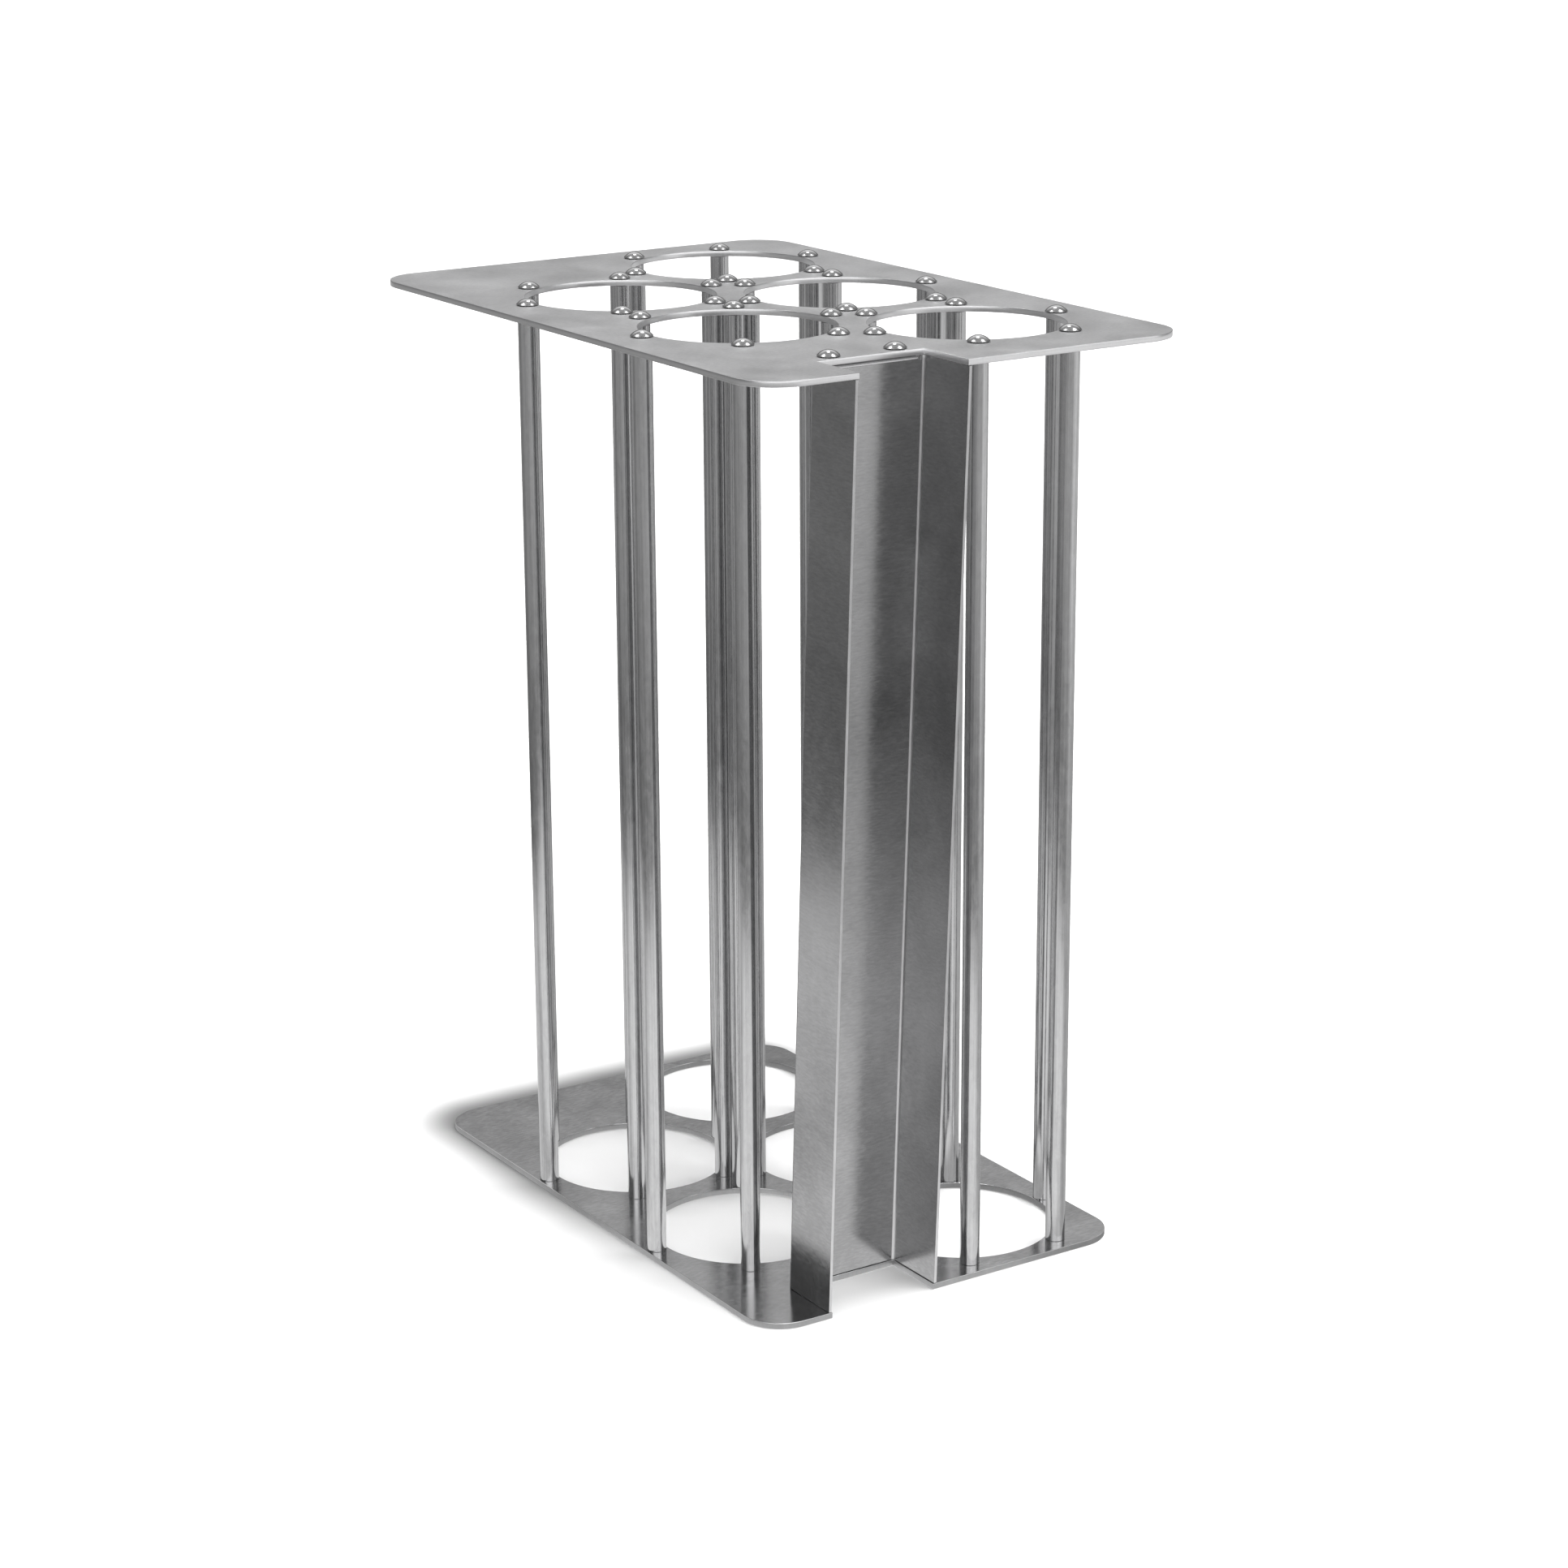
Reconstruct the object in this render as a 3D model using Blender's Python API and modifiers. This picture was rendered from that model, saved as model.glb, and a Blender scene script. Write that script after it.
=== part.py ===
"""Umbrella stand: five staggered round cells between two steel plates.

A larger top plate and a smaller bottom plate are joined by thirty round rods,
six around each cell, and by one bent-sheet channel that stands in a notch in
the front edge of both plates.  The bottom plate is smaller all round, so the
channel leans back from the front edge of the top plate to the front edge of
the bottom plate, while the rods stand upright.

Frame: +Z up, front (the notched edge) towards -Y, origin on the floor under
the middle of the top plate.  Units are metres.
"""
import math

import bpy
import bmesh
from mathutils import Matrix, Vector

# ----------------------------------------------------------------- sizes (m)
GAP = 0.0003                    # air left between pieces that touch

PITCH = 0.110                   # centre to centre of neighbouring cells
ROW = PITCH * math.sqrt(3.0) / 2.0
HOLE_R = 0.04825                # cell opening in both plates
ROD_CIRCLE_R = 0.0536           # circle of the six rods round a cell

SHEET = 0.003                   # thickness of both plates
CLEAR = 0.463                   # free height between the plates
Z_BOTTOM = SHEET                # top face of the bottom plate
Z_TOP = SHEET + CLEAR           # underside of the top plate

TOP_W, TOP_D = 0.243, 0.370
TOP_CORNER_R = 0.023
BOT_W, BOT_D = 0.2155, 0.333
BOT_CORNER_R = 0.021
MID_ROW_X = 0.0485              # x of the row of three cells
FRONT_CELL_Y = -0.104           # y of the front cell of that row
BOT_LEFT = MID_ROW_X - 0.155    # left edge of the bottom plate
BOT_FRONT = FRONT_CELL_Y - 0.058

NOTCH_W = 0.060
NOTCH_DEPTH = 0.035
NOTCH_X = MID_ROW_X - 0.0873    # middle of the notch

CH_SHEET = 0.0015               # channel sheet
CH_SETBACK = 0.0005             # channel faces stand back from the notch edge
CH_BEND_R = 0.0015              # inside radius of the two upright bends
FLANGE_BEND_R = 0.0003          # inside radius of the flange's bend
FLANGE_W = 0.054
FLANGE_D = 0.0145
FLANGE_RELIEF = 0.0015
CH_RIVET_X = 0.0185             # channel rivets, either side of its middle
CH_RIVET_BACK = 0.0071          # and this far behind the notch edge

ROD_D = 0.010
NECK_R = 0.0030                 # turned-down end that passes the top plate
SPIGOT_R = 0.0026               # turned-down end that passes the bottom plate
HEAD_R, HEAD_H = 0.0055, 0.0030         # domed riveted head on the top plate
FOOT_R, FOOT_DEPTH = 0.0045, 0.0019     # flush riveted foot in its countersink
SEAT_R = 0.0049
HOLE_TOP_R = 0.0036
HOLE_BOT_R = 0.0032
FOOT_LIFT = 0.0002              # the feet stay just inside the underside
CH_NECK_R = 0.0024              # shank of a channel rivet
CH_HOLE_R = 0.0030
TAIL_R, TAIL_H = 0.0037, 0.0014 # formed tail of a channel rivet

N_HOLE = 32                     # sides of a cell opening
N_ROD = 12
N_SMALL = 8
N_CORNER = 5

CELLS = (
    ("c1", MID_ROW_X, FRONT_CELL_Y),
    ("c2", MID_ROW_X, FRONT_CELL_Y + PITCH),
    ("c3", MID_ROW_X, FRONT_CELL_Y + 2 * PITCH),
    ("c4", MID_ROW_X - ROW, FRONT_CELL_Y + 0.5 * PITCH),
    ("c5", MID_ROW_X - ROW, FRONT_CELL_Y + 1.5 * PITCH),
)
TOP_FRONT = -TOP_D / 2.0
TOP_NOTCH_Y = TOP_FRONT + NOTCH_DEPTH
LEAN = (TOP_FRONT - BOT_FRONT) / CLEAR       # dy for each metre upwards


# ------------------------------------------------------------ clean the file
for old in list(bpy.data.objects):
    bpy.data.objects.remove(old, do_unlink=True)

scene = bpy.context.scene
parts = bpy.data.collections.new("umbrella_stand")
cutters = bpy.data.collections.new("cutters")
scene.collection.children.link(parts)
scene.collection.children.link(cutters)


# ----------------------------------------------------------------- materials
def metal(name, color, roughness, metallic=1.0):
    mat = bpy.data.materials.new(name)
    mat.use_nodes = True
    bsdf = mat.node_tree.nodes["Principled BSDF"]
    bsdf.inputs["Base Color"].default_value = (*color, 1.0)
    bsdf.inputs["Roughness"].default_value = roughness
    bsdf.inputs["Metallic"].default_value = metallic
    return mat


MAT_TOP = metal("satin_steel_top", (0.62, 0.62, 0.63), 0.42)
MAT_BOTTOM = metal("polished_steel_bottom", (0.55, 0.55, 0.56), 0.26)
MAT_CHANNEL = metal("satin_steel_channel", (0.50, 0.50, 0.51), 0.38)
MAT_ROD = metal("polished_rod", (0.66, 0.66, 0.67), 0.22)
MAT_RIVET = metal("bright_rivet", (0.70, 0.70, 0.71), 0.18)


# ------------------------------------------------------------------- helpers
def new_object(name, mesh, mat, collection=None):
    obj = bpy.data.objects.new(name, mesh)
    (collection or parts).objects.link(obj)
    if mat is not None and len(mesh.materials) == 0:
        mesh.materials.append(mat)
    return obj


def smooth(mesh, degrees=35.0):
    mesh.shade_smooth()
    mesh.set_sharp_from_angle(angle=math.radians(degrees))


def ring(cx, cy, radius, count, start=0.0):
    return [(cx + radius * math.cos(start + 2 * math.pi * i / count),
             cy + radius * math.sin(start + 2 * math.pi * i / count))
            for i in range(count)]


def flat_outline(name, loops, z_low, thickness):
    """A sheet cut to closed loops: the first is its edge, the others holes."""
    curve = bpy.data.curves.new(name, "CURVE")
    curve.dimensions = "2D"
    curve.fill_mode = "BOTH"
    curve.extrude = thickness / 2.0
    for loop in loops:
        spline = curve.splines.new("POLY")
        spline.points.add(len(loop) - 1)
        for point, (x, y) in zip(spline.points, loop):
            point.co = (x, y, 0.0, 1.0)
        spline.use_cyclic_u = True
    temp = bpy.data.objects.new(name, curve)
    parts.objects.link(temp)
    temp.location = (0.0, 0.0, z_low + thickness / 2.0)
    bpy.context.view_layer.update()
    depsgraph = bpy.context.evaluated_depsgraph_get()
    mesh = bpy.data.meshes.new_from_object(temp.evaluated_get(depsgraph))
    mesh.transform(temp.matrix_world)
    bpy.data.objects.remove(temp, do_unlink=True)
    bpy.data.curves.remove(curve)
    bm = bmesh.new()
    bm.from_mesh(mesh)
    bmesh.ops.remove_doubles(bm, verts=bm.verts[:], dist=1e-6)
    bmesh.ops.recalc_face_normals(bm, faces=bm.faces[:])
    bm.to_mesh(mesh)
    bm.free()
    mesh.materials.clear()
    mesh.name = name
    return mesh


def turned_mesh(name, profile, steps, phase=0.0):
    """Evaluated mesh of a profile (r, z) spun once round Z."""
    mesh = bpy.data.meshes.new(name)
    verts = [(r * math.cos(phase), r * math.sin(phase), z) for r, z in profile]
    mesh.from_pydata(verts, [(i, i + 1) for i in range(len(verts) - 1)], [])
    temp = bpy.data.objects.new(name, mesh)
    parts.objects.link(temp)
    spin = temp.modifiers.new("spin", "SCREW")
    spin.axis = "Z"
    spin.angle = 2.0 * math.pi
    spin.screw_offset = 0.0
    spin.steps = steps
    spin.render_steps = steps
    spin.use_merge_vertices = True
    spin.merge_threshold = 0.00001
    bpy.context.view_layer.update()
    depsgraph = bpy.context.evaluated_depsgraph_get()
    result = bpy.data.meshes.new_from_object(temp.evaluated_get(depsgraph))
    bpy.data.objects.remove(temp, do_unlink=True)
    bpy.data.meshes.remove(mesh)
    bm = bmesh.new()
    bm.from_mesh(result)
    bmesh.ops.remove_doubles(bm, verts=bm.verts[:], dist=1e-6)
    bmesh.ops.recalc_face_normals(bm, faces=bm.faces[:])
    bm.to_mesh(result)
    bm.free()
    result.name = name
    return result


def copies(name, source, places, mat, collection=None):
    """One object that holds a separate solid at each place."""
    bm = bmesh.new()
    for place in places:
        before = len(bm.verts)
        bm.from_mesh(source)
        bm.verts.ensure_lookup_table()
        bmesh.ops.translate(bm, verts=bm.verts[before:], vec=Vector(place))
    mesh = bpy.data.meshes.new(name)
    bm.to_mesh(mesh)
    bm.free()
    smooth(mesh)
    return new_object(name, mesh, mat, collection)


def cut(target, cutter, name):
    cutter.hide_render = True
    cutter.display_type = "WIRE"
    mod = target.modifiers.new(name, "BOOLEAN")
    mod.operation = "DIFFERENCE"
    mod.solver = "EXACT"
    mod.object = cutter


def rod_places(cx, cy):
    """The six rod axes round a cell, in the gaps between the cells."""
    places = []
    for k in range(6):
        a = math.radians(60.0 * k)
        places.append((60 * k, cx + ROD_CIRCLE_R * math.cos(a),
                       cy + ROD_CIRCLE_R * math.sin(a)))
    return places


CH_RIVET_TOP = [(NOTCH_X + s * CH_RIVET_X, TOP_NOTCH_Y + CH_RIVET_BACK)
                for s in (-1, 1)]
ROD_AXES = [(cell, deg, x, y) for cell, cx, cy in CELLS
            for deg, x, y in rod_places(cx, cy)]


# -------------------------------------------------------------------- plates
def notched_outline(left, right, front, back, radius, notch_x, notch_w, depth):
    """Rounded rectangle with a square notch in its front edge."""
    pts = []
    for cx, cy, start in ((right - radius, back - radius, 0.0),
                          (left + radius, back - radius, 0.5 * math.pi),
                          (left + radius, front + radius, math.pi),
                          (right - radius, front + radius, 1.5 * math.pi)):
        if start == 1.5 * math.pi:
            a, b = notch_x - notch_w / 2.0, notch_x + notch_w / 2.0
            pts += [(a, front), (a, front + depth), (b, front + depth), (b, front)]
        for i in range(N_CORNER + 1):
            t = start + 0.5 * math.pi * i / N_CORNER
            pts.append((cx + radius * math.cos(t), cy + radius * math.sin(t)))
    return pts


top_loops = [notched_outline(-TOP_W / 2, TOP_W / 2, TOP_FRONT, TOP_D / 2,
                             TOP_CORNER_R, NOTCH_X, NOTCH_W, NOTCH_DEPTH)]
bot_loops = [notched_outline(BOT_LEFT, BOT_LEFT + BOT_W, BOT_FRONT,
                             BOT_FRONT + BOT_D, BOT_CORNER_R,
                             NOTCH_X, NOTCH_W, NOTCH_DEPTH)]
for _, cx, cy in CELLS:
    top_loops.append(ring(cx, cy, HOLE_R, N_HOLE, math.pi / N_HOLE))
    bot_loops.append(ring(cx, cy, HOLE_R, N_HOLE, math.pi / N_HOLE))
for _, _, x, y in ROD_AXES:
    top_loops.append(ring(x, y, HOLE_TOP_R, N_SMALL))
    bot_loops.append(ring(x, y, HOLE_BOT_R, N_SMALL))
for x, y in CH_RIVET_TOP:
    top_loops.append(ring(x, y, CH_HOLE_R, N_SMALL))

top_mesh = flat_outline("top_plate", top_loops, Z_TOP, SHEET)
smooth(top_mesh, 30)
top_plate = new_object("top_plate", top_mesh, MAT_TOP)

bot_mesh = flat_outline("bottom_plate", bot_loops, 0.0, SHEET)
bottom_plate = new_object("bottom_plate", bot_mesh, MAT_BOTTOM)

# countersinks in the underside of the bottom plate
over = 0.0004
seat = turned_mesh("seat", [
    (0.0, SEAT_R - HOLE_BOT_R + over + 0.0003),
    (HOLE_BOT_R - over, SEAT_R - HOLE_BOT_R + over + 0.0003),
    (SEAT_R + over, 0.0003 - over), (0.0, 0.0003 - over)], N_SMALL)
seats = copies("countersinks", seat,
               [(x, y, 0.0) for _, _, x, y in ROD_AXES], None, cutters)
cut(bottom_plate, seats, "countersinks")
smooth(bot_mesh, 30)


# ------------------------------------------------------------------- channel
def channel_mesh():
    """Bent sheet, built as its middle surface and thickened afterwards."""
    half = NOTCH_W / 2.0 + CH_SETBACK + CH_SHEET / 2.0
    bend = CH_BEND_R + CH_SHEET / 2.0
    back = NOTCH_DEPTH + CH_SETBACK + CH_SHEET / 2.0     # behind the front edge
    flat = half - bend
    arcs = 4

    low = Z_BOTTOM + GAP
    high = Z_TOP - GAP
    flange_high = high - CH_SHEET / 2.0
    fold = FLANGE_BEND_R + CH_SHEET / 2.0
    tilt = math.atan(-LEAN)
    drop_high = fold * math.tan((math.pi / 2 + tilt) / 2.0)

    def y_at(z, behind):
        return BOT_FRONT + LEAN * (z - Z_BOTTOM) + behind

    # the section from the left front edge round to the right front edge
    section = [(-half, 0.0), (-half, back - bend)]
    for i in range(1, arcs):
        a = math.pi - 0.5 * math.pi * i / arcs
        section.append((-half + bend + bend * math.cos(a),
                        back - bend + bend * math.sin(a)))
    section.append((-flat, back))
    inner = [-FLANGE_W / 2 - FLANGE_RELIEF, -FLANGE_W / 2]
    section += [(x, back) for x in inner] + [(-x, back) for x in reversed(inner)]
    section.append((flat, back))
    for i in range(1, arcs):
        a = 0.5 * math.pi - 0.5 * math.pi * i / arcs
        section.append((half - bend + bend * math.cos(a),
                        back - bend + bend * math.sin(a)))
    section += [(half, back - bend), (half, 0.0)]

    z_a = low
    z_b = flange_high - drop_high * math.cos(tilt)

    bm = bmesh.new()
    base = [bm.verts.new((NOTCH_X + x, y_at(z_a, d), z_a)) for x, d in section]
    start = [bm.edges.new((base[i], base[i + 1])) for i in range(len(base) - 1)]

    def extrude(edges, move):
        out = bmesh.ops.extrude_edge_only(bm, edges=edges)["geom"]
        verts = [g for g in out if isinstance(g, bmesh.types.BMVert)]
        bmesh.ops.translate(bm, verts=verts, vec=move)
        return [g for g in out if isinstance(g, bmesh.types.BMEdge)
                and all(v in verts for v in g.verts)]

    def span(edge):
        xs = [v.co.x - NOTCH_X for v in edge.verts]
        return min(xs), max(xs)

    def split(edges):
        middle, sides = [], []
        for e in edges:
            a, b = span(e)
            if a >= -FLANGE_W / 2 - 1e-5 and b <= FLANGE_W / 2 + 1e-5:
                middle.append(e)
            elif b <= inner[0] + 1e-5 or a >= -inner[0] - 1e-5:
                sides.append(e)
        return middle, sides

    top = extrude(start, Vector((0.0, LEAN * (z_b - z_a), z_b - z_a)))

    # the sides run up to the plate; the middle bends backwards under it
    middle, sides = split(top)
    extrude(sides, Vector((0.0, LEAN * (high - z_b), high - z_b)))
    run_dir = Vector((0.0, LEAN, 1.0)).normalized()
    turn = math.pi / 2 + tilt
    steps = 4
    chord = 2.0 * fold * math.sin(turn / steps / 2.0)
    for i in range(steps):
        rot = Matrix.Rotation(-turn * (i + 0.5) / steps, 3, "X")
        middle = extrude(middle, (rot @ run_dir) * chord)
    extrude(middle, Vector((0.0, FLANGE_D - drop_high, 0.0)))
    bmesh.ops.recalc_face_normals(bm, faces=bm.faces[:])
    mesh = bpy.data.meshes.new("front_channel")
    bm.to_mesh(mesh)
    bm.free()
    return mesh


channel_sheet = channel_mesh()
channel = new_object("front_channel", channel_sheet, MAT_CHANNEL)
thick = channel.modifiers.new("sheet", "SOLIDIFY")
thick.thickness = CH_SHEET
thick.offset = 0.0
thick.use_even_offset = True
thick.use_quality_normals = True
drill = turned_mesh("drill", [(0.0, 0.006), (CH_HOLE_R, 0.006),
                              (CH_HOLE_R, -0.006), (0.0, -0.006)], N_SMALL)
drill_top = copies("flange_drills_top", drill,
                     [(x, y, Z_TOP) for x, y in CH_RIVET_TOP], None, cutters)
cut(channel, drill_top, "top_flange_holes")
smooth(channel_sheet, 30)


# ---------------------------------------------------------------------- rods
def dome(z0):
    """Outer side of a domed head that stands on z0, from its crown down."""
    big = (HEAD_R ** 2 + HEAD_H ** 2) / (2.0 * HEAD_H)
    spread = math.asin(HEAD_R / big)
    pts = []
    for i in range(4):
        a = spread * i / 3.0
        pts.append((big * math.sin(a), z0 + HEAD_H - big * (1.0 - math.cos(a))))
    pts[0] = (0.0, z0 + HEAD_H)
    return pts


Z_HEAD = Z_TOP + SHEET + GAP
rod_mesh = turned_mesh("rod", dome(Z_HEAD) + [
    (NECK_R, Z_HEAD), (NECK_R, Z_TOP - GAP), (ROD_D / 2, Z_TOP - GAP),
    (ROD_D / 2, Z_BOTTOM + GAP), (SPIGOT_R, Z_BOTTOM + GAP),
    (SPIGOT_R, FOOT_DEPTH), (FOOT_R, FOOT_LIFT), (0.0, FOOT_LIFT)], N_ROD)
smooth(rod_mesh)
rod_mesh.materials.append(MAT_ROD)
for cell, deg, x, y in ROD_AXES:
    rod = new_object("rod_%s_%03d" % (cell, deg), rod_mesh, None)
    rod.location = (x, y, 0.0)


# ------------------------------------------------------------ channel rivets
z_flange = Z_TOP - GAP - CH_SHEET
top_rivet = turned_mesh("top_rivet", dome(Z_HEAD) + [
    (CH_NECK_R, Z_HEAD), (CH_NECK_R, z_flange - GAP), (TAIL_R, z_flange - GAP),
    (TAIL_R * 0.7, z_flange - GAP - TAIL_H), (0.0, z_flange - GAP - TAIL_H)],
    N_ROD)
smooth(top_rivet)
top_rivet.materials.append(MAT_RIVET)
for side, (x, y) in zip(("left", "right"), CH_RIVET_TOP):
    rivet = new_object("channel_rivet_%s" % side, top_rivet, None)
    rivet.location = (x, y, 0.0)

for leftover in (seat, drill):
    if leftover.users == 0:
        bpy.data.meshes.remove(leftover)
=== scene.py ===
"""Looks of the umbrella stand: fine sheet, rod and rivet meshes, metals, light and camera."""
import math

import bmesh
import bpy
from mathutils import Matrix, Vector


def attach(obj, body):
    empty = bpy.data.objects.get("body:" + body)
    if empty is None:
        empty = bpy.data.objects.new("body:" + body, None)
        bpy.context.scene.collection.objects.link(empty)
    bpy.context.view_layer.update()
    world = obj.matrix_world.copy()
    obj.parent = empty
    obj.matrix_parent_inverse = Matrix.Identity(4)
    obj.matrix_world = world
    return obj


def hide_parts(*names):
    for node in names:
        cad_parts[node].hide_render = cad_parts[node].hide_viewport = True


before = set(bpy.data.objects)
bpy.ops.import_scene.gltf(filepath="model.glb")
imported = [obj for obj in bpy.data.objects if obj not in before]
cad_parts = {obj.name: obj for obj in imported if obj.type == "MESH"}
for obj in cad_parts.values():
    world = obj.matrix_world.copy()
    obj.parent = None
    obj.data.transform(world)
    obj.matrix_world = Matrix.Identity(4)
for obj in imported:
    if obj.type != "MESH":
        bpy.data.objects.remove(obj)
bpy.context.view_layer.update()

# ------------------------------------------------------------ sizes (metres)
GAP = 0.0003
PITCH = 0.110
ROW = PITCH * math.sqrt(3.0) / 2.0
HOLE_R = 0.04825
ROD_CIRCLE_R = 0.0536
SHEET, Z_BOTTOM, Z_TOP = 0.003, 0.003, 0.466
CLEAR = Z_TOP - Z_BOTTOM
TOP = (-0.1215, 0.1215, -0.185, 0.185, 0.023)        # left, right, front, back, corner
BOT = (-0.1065, 0.1090, -0.162, 0.171, 0.021)
NOTCH_X, NOTCH_W, NOTCH_DEPTH = 0.0485 - 0.0873, 0.060, 0.035
CH_SHEET, CH_SETBACK, CH_BEND_R, FLANGE_BEND_R = 0.0015, 0.0005, 0.0015, 0.0003
FLANGE_W, FLANGE_D, FLANGE_RELIEF = 0.054, 0.0145, 0.0015
CH_RIVET_X, CH_RIVET_BACK = 0.0185, 0.0071
LEAN = (TOP[2] - BOT[2]) / CLEAR
ROD_R, NECK_R, SPIGOT_R = 0.005, 0.0030, 0.0026
HEAD_R, HEAD_H = 0.0055, 0.0030
FOOT_R, FOOT_DEPTH, FOOT_LIFT, SEAT_R = 0.0045, 0.0019, 0.0002, 0.0049
CH_NECK_R, TAIL_R, TAIL_H = 0.0024, 0.0037, 0.0014
EDGE = 0.00022                                       # broken edge of the sheets

CELLS = (("c1", 0.0485, -0.104), ("c2", 0.0485, -0.104 + PITCH),
         ("c3", 0.0485, -0.104 + 2 * PITCH),
         ("c4", 0.0485 - ROW, -0.104 + PITCH / 2),
         ("c5", 0.0485 - ROW, -0.104 + 1.5 * PITCH))
RODS = [(c, 60 * k, cx + ROD_CIRCLE_R * math.cos(math.radians(60 * k)),
         cy + ROD_CIRCLE_R * math.sin(math.radians(60 * k)))
        for c, cx, cy in CELLS for k in range(6)]
TOP_NOTCH_Y = TOP[2] + NOTCH_DEPTH
TOP_RIVETS = [(NOTCH_X + s * CH_RIVET_X, TOP_NOTCH_Y + CH_RIVET_BACK) for s in (-1, 1)]
scene = bpy.context.scene
coll = scene.collection


# ----------------------------------------------------------------- materials
class Nodes:
    """Short hand for building a node tree."""

    def __init__(self, name):
        self.mat = bpy.data.materials.new(name)
        self.mat.use_nodes = True
        self.tree = self.mat.node_tree
        self.bsdf = self.tree.nodes["Principled BSDF"]
        self.coord = self.tree.nodes.new("ShaderNodeTexCoord").outputs["Object"]

    def link(self, a, b):
        self.tree.links.new(a, b)

    def scaled(self, scale, rotation=(0, 0, 0)):
        m = self.tree.nodes.new("ShaderNodeMapping")
        m.inputs["Scale"].default_value = scale
        m.inputs["Rotation"].default_value = rotation
        self.link(self.coord, m.inputs["Vector"])
        return m.outputs["Vector"]

    def noise(self, vector, scale=1.0, detail=3.0, rough=0.55, distort=0.0):
        n = self.tree.nodes.new("ShaderNodeTexNoise")
        n.inputs["Scale"].default_value = scale
        n.inputs["Detail"].default_value = detail
        n.inputs["Roughness"].default_value = rough
        n.inputs["Distortion"].default_value = distort
        self.link(vector, n.inputs["Vector"])
        return n.outputs["Fac"]

    def ramp(self, fac, a, b, lo, hi):
        r = self.tree.nodes.new("ShaderNodeMapRange")
        r.inputs["From Min"].default_value = a
        r.inputs["From Max"].default_value = b
        r.inputs["To Min"].default_value = lo
        r.inputs["To Max"].default_value = hi
        self.link(fac, r.inputs["Value"])
        return r.outputs["Result"]

    def math(self, op, a, b):
        m = self.tree.nodes.new("ShaderNodeMath")
        m.operation = op
        for i, x in enumerate((a, b)):
            if isinstance(x, (int, float)):
                m.inputs[i].default_value = x
            else:
                self.link(x, m.inputs[i])
        return m.outputs[0]

    def grey(self, value, low, high):
        """A slightly cool grey between two levels, driven by value 0..1."""
        c = self.tree.nodes.new("ShaderNodeValToRGB")
        e = c.color_ramp.elements
        e[0].position, e[1].position = 0.0, 1.0
        e[0].color = (low, low, low * 1.008, 1.0)
        e[1].color = (high, high, high * 1.008, 1.0)
        self.link(value, c.inputs["Fac"])
        self.link(c.outputs["Color"], self.bsdf.inputs["Base Color"])

    def bump(self, height, strength, distance):
        b = self.tree.nodes.new("ShaderNodeBump")
        b.inputs["Strength"].default_value = strength
        b.inputs["Distance"].default_value = distance
        self.link(height, b.inputs["Height"])
        self.link(b.outputs["Normal"], self.bsdf.inputs["Normal"])


def sheet_metal(name, low, high, rough_lo, rough_hi, grain, bump, foot_shade=0.0):
    """Rolled sheet: soft cloudy tone, faint rolling grain and small scuffs.

    foot_shade: how much the tone drops over the last hand's breadth above the floor, a painted shade near
    the base."""
    n = Nodes(name)
    n.bsdf.inputs["Metallic"].default_value = 1.0
    clouds = n.noise(n.scaled((26, 26, 26)), 1.0, 4.0, 0.6, 0.4)
    fine = n.noise(n.scaled(grain), 1.0, 3.0, 0.6)
    speck = n.noise(n.scaled((900, 900, 900)), 1.0, 2.0, 0.5)
    tone = n.math("ADD", n.math("MULTIPLY", n.ramp(clouds, 0.3, 0.7, 0.0, 1.0), 0.55),
                  n.math("MULTIPLY", n.ramp(fine, 0.3, 0.7, 0.0, 1.0), 0.45))
    # painted shade: the tone darkens over the last hand's breadth above the floor
    if foot_shade:
        sep = n.tree.nodes.new("ShaderNodeSeparateXYZ")
        n.link(n.coord, sep.inputs[0])
        tone = n.math("SUBTRACT", tone, n.ramp(sep.outputs["Z"], 0.13, 0.0, 0.0, foot_shade))
    n.grey(tone, low, high)
    n.link(n.ramp(n.math("ADD", n.math("MULTIPLY", clouds, 0.6), n.math("MULTIPLY", fine, 0.4)),
                  0.35, 0.65, rough_lo, rough_hi), n.bsdf.inputs["Roughness"])
    n.bump(n.math("ADD", n.math("MULTIPLY", fine, 0.6), n.math("MULTIPLY", speck, 0.4)),
           bump, 0.00012)
    return n.mat


def cut_edge(name, low, high, rough_lo, rough_hi, bump=0.25):
    """The cut side of a sheet: duller, with striations across its thickness. It also serves for painted
    shade on the bottom sheet's edges and rivet flanks, and a painted highlight along the channel bends.
    """
    n = Nodes(name)
    n.bsdf.inputs["Metallic"].default_value = 1.0
    lines = n.noise(n.scaled((1500, 1500, 120)), 1.0, 2.0, 0.6)
    patch = n.noise(n.scaled((60, 60, 60)), 1.0, 3.0, 0.6)
    tone = n.math("ADD", n.math("MULTIPLY", n.ramp(lines, 0.3, 0.7, 0.0, 1.0), 0.5),
                  n.math("MULTIPLY", n.ramp(patch, 0.3, 0.7, 0.0, 1.0), 0.5))
    n.grey(tone, low, high)
    n.link(n.ramp(lines, 0.3, 0.7, rough_lo, rough_hi), n.bsdf.inputs["Roughness"])
    n.bump(lines, bump, 0.00008)
    return n.mat


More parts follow.
